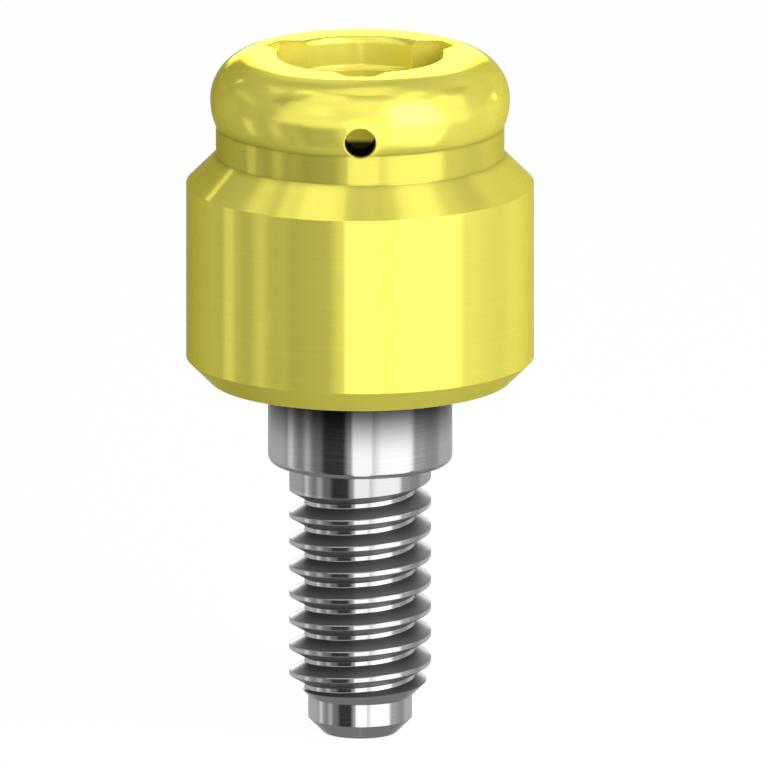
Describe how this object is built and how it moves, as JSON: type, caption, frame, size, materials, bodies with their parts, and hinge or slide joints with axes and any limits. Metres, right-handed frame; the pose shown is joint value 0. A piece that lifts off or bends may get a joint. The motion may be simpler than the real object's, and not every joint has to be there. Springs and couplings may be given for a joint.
{
  "type": "dental abutment",
  "caption": "Straight one-piece stud abutment for an overdenture: rounded retention head with a drive socket and vent, tall collar, pilot and screw.",
  "frame": {"origin": "centre of the seat, the flat under the collar that lands on the implant", "axes": "+Z along the axis from the seat up towards the head; the vent hole faces -Y"},
  "size_m": [0.0046, 0.0046, 0.009],
  "materials": {
    "coated_head": "yellow nitride coating over fine turned titanium alloy, polished on the rounded head",
    "bare_screw": "bare titanium alloy, fine turned, on the pilot, thread and tip"
  },
  "bodies": {
    "root": {"abutment": "coated_head"}
  },
  "joints": []
}
